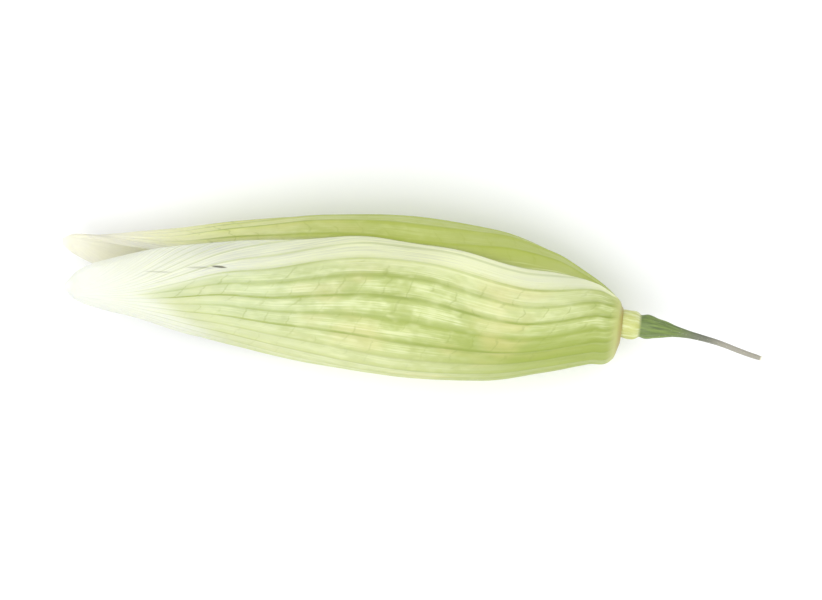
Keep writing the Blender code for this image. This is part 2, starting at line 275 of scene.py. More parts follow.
# The stalk and the rachilla: where they run, and their radius by share of length
STALK_START = -0.0003
STALK_LENGTH = 0.0064
STALK_ASIDE = 0.00014
STALK_ROUTE = (
    (0, 0), (0.14, 0), (0.25, 0.01), (0.36, 0.06), (0.5, 0.18), (0.69, 0.42), (0.86, 0.76), (1, 1),
)
STALK_RADIUS = (
    (0, 0.00062), (0.04, 0.00064), (0.09, 0.00063), (0.115, 0.00058), (0.135, 0.0005), (0.17, 0.00053),
    (0.25, 0.00044), (0.34, 0.00031), (0.43, 0.0002), (0.56, 0.00014), (0.75, 0.00012), (0.96, 0.00011),
    (1, 0.00009),
)
STALK_DRIFT = Vector((0, -0.0009, 0.0001))
STALK_ROWS = 200
STALK_SIDES = 48
STALK_GROOVES = 7
STALK_GROOVE = 0.05
STALK_GROOVES_START = (0.1, 0.2)
STALK_KNOB = 0.02
STALK_BREAK = 0.25
STALK_BREAKS_FROM = 0.985
RACHILLA_ROUTE = (
    (-0.0002, 0, 0), (-0.001, 0, -0.00012), (-0.0022, 0, -0.0003),
    (-0.0034, 0.00006, -0.0005), (-0.0045, 0.00014, -0.0007),
)
RACHILLA_RADIUS = ((0, 0.00025), (0.2, 0.00028), (0.5, 0.00019), (0.8, 0.0002), (1, 0.00029))
RACHILLA_ROWS = 60
RACHILLA_SIDES = 20
RACHILLA_KNOB = 0.03

# Hairs: the stretch that carries them, their root as a share of the stalk's radius or a depth in the
# lemma, how far they stand out, lean and bend, and their range of length
Hairs = namedtuple("Hairs", "span root out lean bend range")
BRISTLES = Hairs((0.2, 0.98), 0.9, 0.6, (-0.8, 0, 0), (-0.1, 0, 0), (0.5, 1.2))
TUFT = Hairs((0, 0.05), 0.00003, 0.22, (-0.9, 0, 0), (0, 0, 0.05), (0.5, 1.1))
BRISTLE_SEED = 71
TUFT_ACROSS = (0.05, 0.95)
HAIR_SIDES = 3
HAIR_STEPS = (0, 0.4, 0.75)
ASKEW_TO_HAIRS = (0.3, 0.5, 0.8)

# The studio: each light's name, place, width and power, and the light of the room
LIGHTS = (
    ("key", (-0.05, -0.2, 0.38), 0.34, 0.95),
    ("fill", (0.05, 0.1, 0.42), 0.3, 0.5),
)
ROOM_TINT = (0.95, 0.97, 1, 1)
ROOM_STRENGTH = 0.68
CAMERA_NEAREST = 0.01


def through(stations, shares):
    """The values at the shares on the smooth curve through the stations, with no overshoot."""
    at, value = np.array(stations, float).T
    shares = np.asarray(shares, float)
    step = np.diff(at)
    slope = np.diff(value) / step
    tangent = np.zeros(len(at))
    tangent[0], tangent[-1] = slope[0], slope[-1]
    if len(at) > 2:
        same_way = slope[:-1] * slope[1:] > 0
        before, after = 2 * step[1:] + step[:-1], step[1:] + 2 * step[:-1]
        first = np.where(same_way, slope[:-1], 1)
        second = np.where(same_way, slope[1:], 1)
        tangent[1:-1] = np.where(same_way, (before + after) / (before / first + after / second), 0)
    i = np.clip(np.searchsorted(at, shares) - 1, 0, len(step) - 1)
    t = np.clip((shares - at[i]) / step[i], 0, 1)
    return (
        (2 * t**3 - 3 * t**2 + 1) * value[i]
        + (t**3 - 2 * t**2 + t) * step[i] * tangent[i]
        + (3 * t**2 - 2 * t**3) * value[i + 1]
        + (t**3 - t**2) * step[i] * tangent[i + 1]
    )


def ease(low, high, value):
    """0 below low, 1 above high, and a smooth rise between."""
    t = np.clip((value - low) / (high - low), 0, 1)
    return t * t * (3 - 2 * t)


def seat():
    """The point on the stalk's axis where the glumes are seated, in the row frame."""
    points = {
        tuple(round(c, POINT_DIGITS) for c in vert.co)
        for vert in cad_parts["pedicel"].data.vertices
    }
    top = min(point[0] for point in points)
    ring = [Vector(point) for point in points if point[0] == top]
    return sum(ring, Vector()) / len(ring) - Vector((SEAT_GAP, 0, 0))


def to_row(points):
    """Points of the spikelet's own frame, as they lie in the row frame."""
    place = np.array(Matrix.Translation(SEAT) @ Matrix.Rotation(ROLL, 4, "X"))
    return points @ place[:3, :3].T + place[:3, 3]


SEAT = seat()


def waves(seed, count, *axes):
    """A gentle seeded mix of waves over the axes, from about -1 to 1."""
    draw = np.random.default_rng(seed)
    total = 0
    for _ in range(count):
        phase = draw.uniform(0, 2 * math.pi)
        turns = sum(draw.uniform(0.4, 1) * draw.choice((-1, 1)) * axis for axis in axes)
        total = total + np.sin(2 * math.pi * turns + phase)
    return total / math.sqrt(count)


def sheet_faces(rows, columns, offset, flip):
    """The quads of a grid of points, turned round where flip is set."""
    index = np.arange(rows * columns).reshape(rows, columns) + offset
    quads = np.stack([index[:-1, :-1], index[:-1, 1:], index[1:, 1:], index[1:, :-1]], axis=-1)
    quads = quads.reshape(-1, 4)
    return quads[:, ::-1] if flip else quads


def rim_faces(rows, columns, flip):
    """The quads that close the gap between an outer and an inner grid, all the way round."""
    index = np.arange(rows * columns).reshape(rows, columns)
    loop = np.concatenate([index[0, :], index[1:, -1], index[-1, -2::-1], index[-2:0:-1, 0]])
    following = np.roll(loop, -1)
    inner = rows * columns
    quads = np.stack([following, loop, loop + inner, following + inner], axis=-1)
    return quads[:, ::-1] if flip else quads


def lift_off_floor(points):
    """How far the floor presses up each point of a soft blade."""
    height = to_row(points)[..., 2]
    return 0.5 * (height + np.sqrt(height**2 + PRESS_SOFTNESS**2)) - height


def new_piece(name, points, faces, marks, node, lift=0):
    """A smooth mesh piece with the marks that its material reads, standing for a CAD node."""
    placed = to_row(points)
    placed[:, 2] += lift
    mesh = bpy.data.meshes.new(name)
    mesh.from_pydata(placed.tolist(), [], [list(map(int, face)) for face in faces])
    mesh.shade_smooth()
    for mark, values in marks.items():
        attribute = mesh.attributes.new(mark, "FLOAT", "POINT")
        attribute.data.foreach_set("value", np.asarray(values, np.float32).ravel())
    piece = bpy.data.objects.new(name, mesh)
    bpy.context.scene.collection.objects.link(piece)
    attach(piece, "root")
    if node:
        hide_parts(node)
    return piece


def blade_angles(blade, share, across):
    """The angle round the section, from the back, at each place of a blade."""
    plus = np.radians(through(blade.wrap_plus, share))
    minus = np.radians(through(blade.wrap_minus, share))
    wander = np.radians(EDGE_WANDER) * waves(blade.seed, 5, EDGE_TURNS * share)
    return -minus + across * (plus + minus) + wander * (2 * across - 1)


def blade_point(blade, share, angle, inset):
    """Points of a blade's section, inset from its even outer face."""
    wraps = through(blade.wrap_plus, share) + through(blade.wrap_minus, share)
    widest = np.sin(np.minimum(np.radians(wraps) / 2, math.pi / 2))
    radius = through(blade.half_width, share) / widest - inset
    rise = through(blade.rise, share) - inset
    level = through(blade.back, share) - through(blade.rise, share)
    x = np.broadcast_to(blade.start - share * blade.length, angle.shape)
    y = through(blade.sway, share) + radius * np.sin(angle)
    return np.stack([x, y, blade.side * (level + rise * np.cos(angle))], axis=-1)


def blade_marks(blade, share, across):
    """How raised and how green the skin is at each place, and in which lane of veins it lies."""
    plus, minus = through(blade.plus, share), through(blade.minus, share)
    green_share = (across - minus) / (1 - plus - minus)
    lane = green_share * (blade.veins - 1)
    lane = lane + VEIN_WANDER * waves(blade.seed + 1, 4, WANDER_TURNS * share, LANE_TURNS * lane)
    nearest = np.round(lane)
    ridge = np.exp(-(((lane - nearest) / VEIN_WIDTH) ** 2))
    major = np.where(nearest % 2 == 0, 1, MINOR_RIB / RIB)
    green = ease(-GREEN_FADE, GREEN_FADE, green_share) * ease(-GREEN_FADE, GREEN_FADE, 1 - green_share)
    end_wander = GREEN_END_WANDER * waves(blade.seed + 2, 3, 2 * across)
    green = green * (1 - ease(*blade.green_until, share + end_wander))
    vein = ridge * major * (PAPERY_RIB + (1 - PAPERY_RIB) * green)
    vein = vein * ease(0, RIB_STARTS, share) * (1 - ease(RIB_ENDS, 1, share))
    return {"vein": vein, "green": green, "lane": lane + blade.seed}


def shell_piece(node, outer, inner, flip, marks, lift=0):
    """A thin blade between two grids of points, closed by a rim, with its marks on both faces."""
    rows, columns = outer.shape[:2]
    points = np.concatenate([outer.reshape(-1, 3), inner.reshape(-1, 3)])
    faces = np.concatenate([
        sheet_faces(rows, columns, 0, flip),
        sheet_faces(rows, columns, rows * columns, not flip),
        rim_faces(rows, columns, flip),
    ])
    marks = {mark: np.tile(values.ravel(), 2) for mark, values in marks.items()}
    return new_piece(node + "_skin", points, faces, marks, node, lift)


def make_blade(blade):
    """A thin bract: its ribbed outer face, its smooth inner face and the rims between them."""
    evenly = 0.5 - 0.5 * np.cos(np.linspace(0, math.pi, blade.rows))
    across = np.broadcast_to(np.linspace(0, 1, blade.columns), (blade.rows, blade.columns))
    middle = np.exp(-(((across - 0.5) / NOTCH_WIDTH) ** 2))
    share = evenly[:, None] * (1 - blade.notch * middle)
    angle = blade_angles(blade, share, across)
    marks = blade_marks(blade, share, across)
    edge = np.minimum(across, 1 - across)
    papery = 1 - ease(*RUFFLE_WIDTH, edge)
    ruffle_turn = 2 * math.pi * share * blade.length / RUFFLE_WAVE + RUFFLE_SLANT * across
    ruffle = RUFFLE * papery * np.sin(ruffle_turn)
    ruffle = ruffle * ease(*RUFFLE_STARTS, share) * (1 - ease(*RUFFLE_ENDS, share))
    bulge = BULGE * waves(blade.seed + 4, 6, BULGE_TURNS[0] * share, BULGE_TURNS[1] * across)
    bulge = bulge * ease(*BULGE_STARTS, share)
    relief = RIB * marks["vein"] * (1 - ease(*RIBS_SINK, share))
    relief = relief + ruffle + bulge * (1 - ease(*BULGE_ENDS, share))
    inwards = EDGE_THICKNESS + (1 - EDGE_THICKNESS) * ease(*RIM_WIDTH, edge)
    thickness = through(blade.thickness, share) * inwards
    outer = blade_point(blade, share, angle, -relief)
    inner = blade_point(blade, share, angle, thickness - ruffle)
    marks.update(along=share, across=across)
    lift = np.tile(lift_off_floor(outer).ravel(), 2)
    return shell_piece(blade.node, outer, inner, blade.side > 0, marks, lift)


def make_palea(node, lemma):
    """The inner blade of a floret: thin, dipped between its two keels."""
    along = np.linspace(0, 1, PALEA_ROWS)[:, None]
    across = np.broadcast_to(np.linspace(-1, 1, PALEA_COLUMNS), (PALEA_ROWS, PALEA_COLUMNS))
    share = PALEA_FROM + along * (PALEA_TO - PALEA_FROM)
    keel = np.exp(-(((np.abs(across) - PALEA_KEEL) / PALEA_KEEL_WIDTH) ** 2))
    dip = PALEA_DIP * (1 - (across / PALEA_KEEL) ** 2)
    level = PALEA_LEVEL + np.where(np.abs(across) < PALEA_KEEL, dip, 0) - PALEA_KEEL_HEIGHT * keel
    along = np.broadcast_to(along, across.shape)
    x = np.broadcast_to(lemma.start - share * lemma.length, across.shape)
    y = through(lemma.sway, share) + across * through(PALEA_WIDTH, along)
    flat = np.stack([x, y, lemma.side * level], axis=-1)
    back = flat + np.array([0, 0, lemma.side * PALEA_THICKNESS])
    marks = {"vein": keel, "along": along, "across": 0.5 + 0.5 * across, "green": 1 - 0 * along}
    return shell_piece(node, flat, back, lemma.side < 0, marks)


def ball_faces(rings, segments):
    """The faces of a ball of rings of points, with a single point at each end."""
    ring = np.arange(rings * segments).reshape(rings, segments)
    after = np.roll(ring, -1, axis=1)
    sides = np.stack([ring[:-1], after[:-1], after[1:], ring[1:]], axis=-1).reshape(-1, 4)
    first, last = rings * segments, rings * segments + 1
    caps = [(after[0, i], ring[0, i], first) for i in range(segments)]
    caps += [(ring[-1, i], after[-1, i], last) for i in range(segments)]
    return [*sides.tolist(), *caps]


def make_grain(grain):
    """A milky grain: a long egg with a furrow on the palea side and a germ at its foot."""
    lemma = grain.lemma
    polar = np.linspace(0, math.pi, GRAIN_RINGS + 2)[1:-1, None]
    round_it = np.linspace(0, 2 * math.pi, GRAIN_SEGMENTS, endpoint=False)
    along = np.broadcast_to(np.cos(polar), (GRAIN_RINGS, GRAIN_SEGMENTS))
    across, up = np.sin(polar) * np.cos(round_it), np.sin(polar) * np.sin(round_it)
    taper = 1 + GRAIN_TAPER * along
    y = across * grain.half_width * taper
    z = up * grain.half_depth * taper * lemma.side
    furrow = FURROW_DEPTH * np.abs(up) * np.exp(-((y / FURROW_WIDTH) ** 2))
    z = z + np.where(up < 0, lemma.side * furrow, 0)
    germ = np.exp(-(((along - GERM_AT) / GERM_REACH) ** 2) - (across / GERM_WIDTH) ** 2) * (up > 0)
    z = z + lemma.side * GERM_HEIGHT * germ
    middle = np.array([
        lemma.start - GRAIN_MIDDLE * lemma.length,
        float(through(lemma.sway, GRAIN_MIDDLE)),
        lemma.side * grain.level,
    ])
    body = np.stack([along * grain.length / 2, y, z], axis=-1).reshape(-1, 3)
    ends = np.array([[grain.length / 2, 0, 0], [-grain.length / 2, 0, 0]])
    points = np.concatenate([body, ends]) + middle
    faces = ball_faces(GRAIN_RINGS, GRAIN_SEGMENTS)
    if lemma.side < 0:
        faces = [tuple(face)[::-1] for face in faces]
    marks = {
        "along": np.append(0.5 - 0.5 * along.ravel(), [0, 1]),
        "germ": np.append(germ.ravel(), [0, 0]),
        "furrow": np.append((furrow * (up < 0) / FURROW_DEPTH).ravel(), [0, 0]),
    }
    return new_piece(grain.node + "_skin", points, faces, marks, grain.node)


def tube(centres, radii, sides, swell):
    """Rings of points square to a path, their radius times swell(share, turn)."""
    ahead = np.gradient(centres, axis=0)
    ahead /= np.linalg.norm(ahead, axis=1, keepdims=True)
    up = np.cross(ahead, np.array([0, 1, 0]))
    up /= np.linalg.norm(up, axis=1, keepdims=True)
    aside = np.cross(up, ahead)
    turn = np.linspace(0, 2 * math.pi, sides, endpoint=False)
    share = np.linspace(0, 1, len(centres))[:, None]
    reach = radii[:, None] * swell(share, turn)
    return (
        centres[:, None]
        + (reach * np.cos(turn))[..., None] * up[:, None]
        + (reach * np.sin(turn))[..., None] * aside[:, None]
    )


def stalk_path(share):
    """Points on the stalk's axis at the shares of its length."""
    drift = through(STALK_ROUTE, share)
    along = STALK_START + share * STALK_LENGTH
    straight = np.stack([along, 0 * share + STALK_ASIDE, 0 * share], axis=-1)
    return straight + drift[:, None] * np.array(STALK_DRIFT)


def make_tube_piece(node, rings, marks):
    """A closed tube through rings of points, with a point at the middle of each end."""
    rows, sides = rings.shape[:2]
    ends = np.stack([rings[0].mean(axis=0), rings[-1].mean(axis=0)])
    points = np.concatenate([rings.reshape(-1, 3), ends])
    full = {mark: np.append(v.ravel(), [v[0].mean(), v[-1].mean()]) for mark, v in marks.items()}
    return new_piece(node + "_skin", points, ball_faces(rows, sides), full, node)


def make_stalk():
    """The stalk: the pale ring, the green cone and the thin grooved thread to its broken end."""
    share = np.linspace(0, 1, STALK_ROWS)
    turns = np.broadcast_to(np.linspace(0, 1, STALK_SIDES, endpoint=False), (STALK_ROWS, STALK_SIDES))

    def swell(along, turn):
        grooves = STALK_GROOVE * np.cos(STALK_GROOVES * turn) * ease(*STALK_GROOVES_START, along)
        knobs = STALK_KNOB * waves(5, 6, 9 * along, turn * 3 / math.pi)
        broken = STALK_BREAK * waves(6, 4, turn * 2 / math.pi) * ease(STALK_BREAKS_FROM, 1, along)
        return 1 + grooves + knobs + broken

    rings = tube(stalk_path(share), through(STALK_RADIUS, share), STALK_SIDES, swell)
    along = np.broadcast_to(share[:, None], turns.shape)
    return make_tube_piece("pedicel", rings, {"along": along, "across": turns})


def make_rachilla():
    """The pale axis that carries the two florets, swollen at its joints."""
    share = np.linspace(0, 1, RACHILLA_ROWS)
    spread = np.linspace(0, 1, len(RACHILLA_ROUTE))
    centres = [through(profile(spread, *side), share) for side in zip(*RACHILLA_ROUTE)]
    centres = np.stack(centres, axis=-1)

    def swell(along, turn):
        return 1 + RACHILLA_KNOB * waves(9, 5, 5 * along, turn * 2 / math.pi)

    rings = tube(centres, through(RACHILLA_RADIUS, share), RACHILLA_SIDES, swell)
    along = np.broadcast_to(share[:, None], rings.shape[:2])
    marks = {"along": along, "across": np.broadcast_to(np.linspace(0, 1, RACHILLA_SIDES), rings.shape[:2])}
    return make_tube_piece("rachilla", rings, marks)


def make_hairs(name, roots, tips, radius, bend):
    """Fine tapering hairs from roots to tips, each curved by bend."""
    points, faces, along = [], [], []
    turn = np.linspace(0, 2 * math.pi, HAIR_SIDES, endpoint=False)
    for root, tip in zip(roots, tips):
        reach = tip - root
        side = np.cross(reach, ASKEW_TO_HAIRS)
        side /= np.linalg.norm(side)
        other = np.cross(reach, side)
        other /= np.linalg.norm(other)
        first = len(points)
        for step in HAIR_STEPS:
            centre = root + reach * step + bend * step**2 * np.linalg.norm(reach)
            thick = radius * (1 - step)
            for angle in turn:
                points.append(centre + thick * (math.cos(angle) * side + math.sin(angle) * other))
                along.append(step)
        points.append(tip + bend * np.linalg.norm(reach))
        along.append(1)
        top = first + (len(HAIR_STEPS) - 1) * HAIR_SIDES
        for ring in range(first, top, HAIR_SIDES):
            for k in range(HAIR_SIDES):
                a, b = ring + k, ring + (k + 1) % HAIR_SIDES
                faces.append((a, b, b + HAIR_SIDES, a + HAIR_SIDES))
        faces += [(top + k, top + (k + 1) % HAIR_SIDES, len(points) - 1) for k in range(HAIR_SIDES)]
        faces.append(tuple(first + k for k in reversed(range(HAIR_SIDES))))
    return new_piece(name, np.array(points), faces, {"along": np.array(along)}, None)


def make_stalk_bristles(count, length, radius):
    """Tiny stiff hairs on the stalk, leaning towards the glumes."""
    draw = np.random.default_rng(BRISTLE_SEED)
    share = draw.uniform(*BRISTLES.span, count)
    turn = draw.uniform(0, 2 * math.pi, count)
    out = np.stack([0 * turn, np.cos(turn), np.sin(turn)], axis=-1)
    roots = stalk_path(share) + out * (through(STALK_RADIUS, share) * BRISTLES.root)[:, None]
    lengths = length * draw.uniform(*BRISTLES.range, count)
    tips = roots + (out * BRISTLES.out + np.array(BRISTLES.lean)) * lengths[:, None]
    return make_hairs("pedicel_bristles", roots, tips, radius, np.array(BRISTLES.bend))


def make_callus_hairs(name, lemma, count, length, radius):
    """The tuft of white hairs round the foot of a floret."""
    draw = np.random.default_rng(lemma.seed)
    share = draw.uniform(*TUFT.span, count)
    angle = blade_angles(lemma, share, draw.uniform(*TUFT_ACROSS, count))
    roots = blade_point(lemma, share, angle, TUFT.root)
    out = np.stack([0 * angle, np.sin(angle), lemma.side * np.cos(angle)], axis=-1)
    lengths = length * draw.uniform(*TUFT.range, count)
    tips = roots + (out * TUFT.out + np.array(TUFT.lean)) * lengths[:, None]
    return make_hairs(name, roots, tips, radius, lemma.side * np.array(TUFT.bend))


def light(red, green, blue):
    """A screen's colour, 0 to 255, as the linear light that Blender mixes."""
    return tuple(
        c / 255 / 12.92 if c <= 10 else ((c / 255 + 0.055) / 1.055) ** 2.4 for c in (red, green, blue)
    )


class Finish:
    """A material's nodes, with short ways to add and join them."""

    def __init__(self, name, roughness, subsurface=0, glow=(1, 1, 0.5), reach=0.0004):
        self.material = bpy.data.materials.new(name)
        self.material.use_nodes = True
        self.tree = self.material.node_tree
        self.surface = self.tree.nodes["Principled BSDF"]
        self.surface.inputs["Roughness"].default_value = roughness
        for kind, value in (("Weight", subsurface), ("Radius", glow), ("Scale", reach)):
            self.surface.inputs["Subsurface " + kind].default_value = value

    def join(self, source, target):
        """Joins an output to an input, or sets a plain value or one of the scene's colours by name."""
        if isinstance(source, bpy.types.NodeSocket):
            self.tree.links.new(source, target)
        elif target.type == "RGBA":
            target.default_value = (*getattr(bpy.context.scene.spikelet_colours, source), 1)
        else:
            target.default_value = source

    def mark(self, name):
        """A mark that the mesh carries."""
        node = self.tree.nodes.new("ShaderNodeAttribute")
        node.attribute_name = name
        return node.outputs["Fac"]

    def maths(self, operation, first, second=0, third=0):
        """A sum on plain values."""
        node = self.tree.nodes.new("ShaderNodeMath")
        node.operation = operation
        for value, target in zip((first, second, third), node.inputs):
            self.join(value, target)
        return node.outputs[0]

    def times(self, first, second):
        """The product of two values."""
        return self.maths("MULTIPLY", first, second)

    def between(self, value, low, high, to_low=0, to_high=1):
        """The value's place between low and high, eased onto the new range."""
        node = self.tree.nodes.new("ShaderNodeMapRange")
        node.interpolation_type = "SMOOTHSTEP"
        for source, target in zip((value, low, high, to_low, to_high), node.inputs):
            self.join(source, target)
        return node.outputs["Result"]

    def blend(self, share, first, second):
        """One colour turning into another."""
        node = self.tree.nodes.new("ShaderNodeMix")
        node.data_type = "RGBA"
        self.join(share, node.inputs[0])
        self.join(first, node.inputs[6])
        self.join(second, node.inputs[7])
        return node.outputs[2]

    def layers(self, ground, *layers):
        """A ground colour with layers over it, each a share and a colour."""
        for share, tone in layers:
            ground = self.blend(share, ground, tone)
        return ground

    def off_line(self, value):
        """How far a value is from the nearest whole number."""
        whole = self.maths("ROUND", value)
        return self.maths("ABSOLUTE", self.maths("SUBTRACT", value, whole))

    def chance(self, value):
        """An even draw from 0 to 1 that belongs to the value."""
        node = self.tree.nodes.new("ShaderNodeTexWhiteNoise")
        node.noise_dimensions = "1D"
        self.join(value, node.inputs["W"])
        return node.outputs["Value"]

    def noise(self, mark, turns, turns_along, detail=3):
        """Soft noise over a mark and along the piece, with so many turns of each."""
        place = self.tree.nodes.new("ShaderNodeCombineXYZ")
        self.join(self.times(self.mark(mark), turns), place.inputs[0])
        self.join(self.times(self.mark("along"), turns_along), place.inputs[1])
        node = self.tree.nodes.new("ShaderNodeTexNoise")
        node.inputs["Scale"].default_value = 1
        node.inputs["Detail"].default_value = detail
        node.inputs["Roughness"].default_value = NOISE_ROUGHNESS
        self.join(place.outputs[0], node.inputs["Vector"])
        return node.outputs[0]

    def done(self, skin, relief=None, strength=0, depth=0):
        """The finished material, with its colour and any relief too fine for the mesh."""
        self.join(skin, self.surface.inputs["Base Color"])
        if relief is not None:
            node = self.tree.nodes.new("ShaderNodeBump")
            node.inputs["Strength"].default_value = strength
            node.inputs["Distance"].default_value = depth
            self.join(relief, node.inputs["Height"])
            self.join(node.outputs[0], self.surface.inputs["Normal"])
        return self.material


class GlumeFinish(Finish):
    """The skin of a glume: green veins on pale bands, paler tips and see-through papery margins."""

    def __init__(self, name, far):
        super().__init__(name, 0.42, subsurface=0.35, glow=(1, 0.95, 0.45))
        self.far = far
        self.lane, self.along = self.mark("lane"), self.mark("along")
        self.across, self.green = self.mark("across"), self.mark("green")
        self.fibres = self.noise("lane", 11, 9, detail=4)
        self.patches = self.noise("lane", 0.9, 16)
        self.unevenness = self.maths("SUBTRACT", self.fibres, 0.5)
        self.wavy = self.maths("MULTIPLY_ADD", self.unevenness, 0.1, self.off_line(self.lane))
        self.vein = self.between(self.wavy, 0.12, 0.02)
        self.cross = self.cross_veins()

    def cross_veins(self):
        """Short slanting lines between two veins, at their own places in each lane."""
        cell = self.maths("FLOOR", self.lane)
        draw = self.chance(cell)
        slant = self.times(self.maths("SUBTRACT", self.lane, cell), 0.35)
        step = self.maths("MULTIPLY_ADD", self.along, self.maths("MULTIPLY_ADD", draw, 9, 17), slant)
        step = self.maths("ADD", step, self.maths("MULTIPLY_ADD", draw, 7, self.patches))
        cross = self.between(self.off_line(step), 0.06, 0.015)
        return self.times(cross, self.between(self.patches, 0.4, 0.6))

    def bands(self):
        """The bands between the veins: streaked, mottled, with painted shade on the lower side of the foot
        and painted light on its upper side, and paler at the end.
        """
        between, along = self.between, self.along
        middle = between(self.wavy, 0.05, 0.36)
        mottle = self.noise("lane", 2.4, 34, detail=1)
        tint = self.noise("lane", 0.5, 7, detail=2)
        foot = between(along, 0.46, 0.16)
        # Painted shade darkens the lower side of the foot, and painted light brightens its upper side
        shaded_low_side = between(self.across, 0.74, 0.54, 0, 0.9)
        lit_high_side = between(self.across, 0.6, 0.8, 0, 0.52)
        lit_high_foot = self.times(foot, between(along, 0.03, 0.12))
        return self.layers(
            self.blend(middle, "edge_band", "pale_band"),
            (self.times(between(self.fibres, 0.42, 0.66), middle), "bright_band"),
            (between(self.patches, 0.45, 0.68, 0, 0.75), "edge_band"),
            (between(mottle, 0.48, 0.76, 0, 0.42), "bright_band"),
            (between(mottle, 0.52, 0.26, 0, 0.42), "edge_band"),
            # Painted shade on the lower side of the foot, then painted light on its upper side
            (self.times(foot, shaded_low_side), "foot_shade_green"),
            (self.times(lit_high_foot, lit_high_side), "bright_band"),
            (between(tint, 0.5, 0.72, 0, between(along, 0.05, 0.2, 0, 0.4)), "warm_tint"),
            # The lower glume's paler, yellower end is lightened further as painted light against the shade
            # it lies in
            (between(along, 0.38, 0.8, 0, 0.62), "far_lit_end" if self.far else "pale_end"),
        )

    def veined(self):
        """The bands under their veins and cross veins, with painted shade over the lower glume and a
        painted highlight along the first glume's low edge.
        """
        between, along, across = self.between, self.along, self.across
        own = self.chance(self.maths("ROUND", self.lane))
        strong = self.times(between(own, 0, 1, 0.45, 1), self.vein)
        strong = self.times(between(self.patches, 0.3, 0.6, 0.4, 1), strong)
        cross = self.times(self.cross, 0.32)
        lined = self.layers(self.bands(), (strong, "vein_green"), (cross, "vein_green"))
        if self.far:
            # Painted shade: the lower glume is tinted darker towards its foot, deepest along its curled
            # side and at the foot
            back = between(across, 0.86, 0.7, 0, between(along, 0.78, 0.4, 0, 0.45))
            return self.layers(
                lined,
                (between(along, 0.8, 0.4, 0, 0.65), "far_shade_green"),
                (back, "far_deep_shade"),
                (between(along, 0.38, 0.18, 0, 0.4), "far_deep_shade"),
            )
        # Painted highlight: a cream line along the first glume's low edge, where the light catches it
        rim_highlight_from = between(along, 0.05, 0.45, 0.46, 0.6)
        rim = between(across, rim_highlight_from, 0.41, 0, between(along, 0.08, 0.5, 0.12, 0.5))
        return self.blend(rim, lined, "rim_highlight")

    def paper(self):
        """The papery margins: fine fibres, greener towards the foot, with faint veins."""
        return self.layers(
            self.blend(self.between(self.fibres, 0.3, 0.7), "papery", "papery_shade"),
            (self.between(self.along, 0.78, 0.45, 0.1, 0.7), "margin_green"),
            (self.times(self.vein, 0.5), "pale_band"),
        )

    def flecks(self):
        """The dark flecks, each a small long dark spot painted at its own place."""
        for at, aside, reach, depth in FLECKS:
            off_along = self.maths("DIVIDE", self.maths("SUBTRACT", self.along, at), reach)
            off_aside = self.maths("DIVIDE", self.maths("SUBTRACT", self.across, aside), FLECK_WIDTH)
            off = self.maths("MULTIPLY_ADD", off_aside, off_aside, self.times(off_along, off_along))
            yield self.between(off, 1.3, 0.2, 0, depth), "dark_fleck"

    def solidity(self):
        """How solid the skin is: full where it is green, and thin on the papery margins."""
        between, along = self.between, self.along
        thinnest = FAR_PAPER_THINNEST if self.far else PAPER_THINNEST
        thin = between(self.fibres, 0.3, 0.7, thinnest, PAPER_THICKEST)
        thin = self.maths("ADD", thin, between(along, 0.7, 0.52, 0, 0.18))
        thin = self.maths("ADD", thin, between(along, 0.4, 0.24, 0, 0.2))
        thin = self.maths("SUBTRACT", thin, between(along, 0.86, 0.97, 0, 0.12))
        solid = self.maths("MAXIMUM", self.green, between(along, 0.97, 1))
        return self.maths("MULTIPLY_ADD", self.maths("SUBTRACT", 1, thin), solid, thin)

    def laid(self):
        """The material, with all its layers."""
        between, along = self.between, self.along
        ragged = self.maths("MULTIPLY_ADD", self.unevenness, 0.9, self.green)
        tip = between(along, 0.68, 0.95) if self.far else between(along, 0.78, 0.98, 0, 0.6)
        skin = self.layers(
            self.paper(),
            (between(ragged, 0.1, 0.9), self.veined()),
            (tip, "tip_straw" if self.far else "papery"),
            *(() if self.far else self.flecks()),
            (between(along, 0.026, 0.006), "ring_cream"),
            (between(along, 0.01, 0), "seat_tan"),
        )
        self.join(self.solidity(), self.surface.inputs["Alpha"])
        self.join(between(self.patches, 0.3, 0.7, 0.38, 0.5), self.surface.inputs["Roughness"])
        return self.done(skin, self.maths("MULTIPLY_ADD", self.cross, 0.3, self.fibres), 0.35, 0.00003)


def lemma_finish():
    """A lemma: smooth pale green with fine veins, and a dusky tip."""
    finish = Finish("lemma_skin", 0.38, subsurface=0.3, glow=(1, 1.1, 0.5))
    between, along = finish.between, finish.mark("along")
    fibres = finish.noise("across", 120, 8, detail=4)
    skin = finish.layers(
        finish.blend(between(fibres, 0.3, 0.7), "lemma_pale", "lemma_green"),
        (finish.times(finish.mark("vein"), between(along, 0.25, 0.7, 0.15, 0.9)), "vein_green"),
        (between(along, 0.82, 0.95), "dusky_tip"),
    )
    return finish.done(skin, fibres, 0.3, 0.00002)


def palea_finish():
    """A palea: thin, pale and papery, with two green keels."""
    finish = Finish("palea_skin", 0.5, subsurface=0.4, glow=(1, 1, 0.6), reach=0.0003)
    fibres = finish.noise("across", 60, 8)
    ground = finish.blend(fibres, "papery", "lemma_pale")
    skin = finish.blend(finish.times(finish.mark("vein"), 0.7), ground, "vein_green")
    return finish.done(skin, fibres, 0.3, 0.00002)


def grain_finish():
    """A milky grain: soft and pale, greener along its furrow and yellower at its germ."""
    finish = Finish("grain_skin", 0.35, subsurface=0.5, glow=(1, 1, 0.6), reach=0.0005)
    mottle = finish.noise("along", 14, 14, detail=4)
    skin = finish.layers(
        finish.blend(finish.between(mottle, 0.3, 0.7), "grain_milk", "lemma_pale"),
        (finish.times(finish.mark("furrow"), 0.6), "vein_green"),
        (finish.mark("germ"), "tip_straw"),
    )
    return finish.done(skin, mottle, 0.25, 0.00002)


